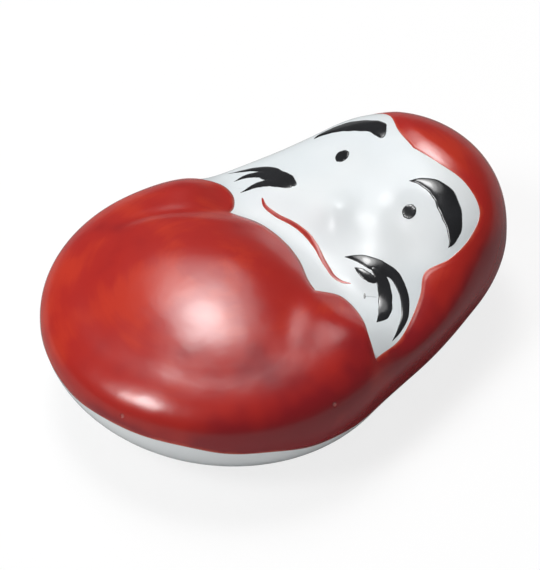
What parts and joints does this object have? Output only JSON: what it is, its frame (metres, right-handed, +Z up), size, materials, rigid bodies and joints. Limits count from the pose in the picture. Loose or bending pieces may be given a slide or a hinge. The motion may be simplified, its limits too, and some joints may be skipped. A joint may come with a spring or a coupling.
{
  "type": "chopstick rest",
  "caption": "Porcelain chopstick rest shaped as a roly-poly doll lying on its back, with a shallow saddle below the face that carries the chopstick tips.",
  "frame": {"origin": "centre of the footprint on the table, under the middle of the body's length and width", "axes": "+Y from the round belly to the hood, +X to the right as seen from above with the hood away from the viewer, +Z up from the table"},
  "size_m": [0.0362, 0.0504, 0.0172],
  "materials": {
    "porcelain": "clear glaze over bluish white porcelain, gloss",
    "red_enamel": "brushed red overglaze enamel, gloss",
    "black_enamel": "black overglaze enamel, gloss",
    "mouth_enamel": "thin brown-red enamel line, gloss"
  },
  "bodies": {
    "root": {"porcelain_body": "porcelain", "red_coat": "red_enamel", "left_brow": "black_enamel", "right_brow": "black_enamel", "left_eye": "black_enamel", "right_eye": "black_enamel", "left_outer_hair": "black_enamel", "left_middle_hair": "black_enamel", "left_inner_hair": "black_enamel", "right_outer_hair": "black_enamel", "right_middle_hair": "black_enamel", "right_inner_hair": "black_enamel", "mouth_line": "mouth_enamel"}
  },
  "joints": []
}
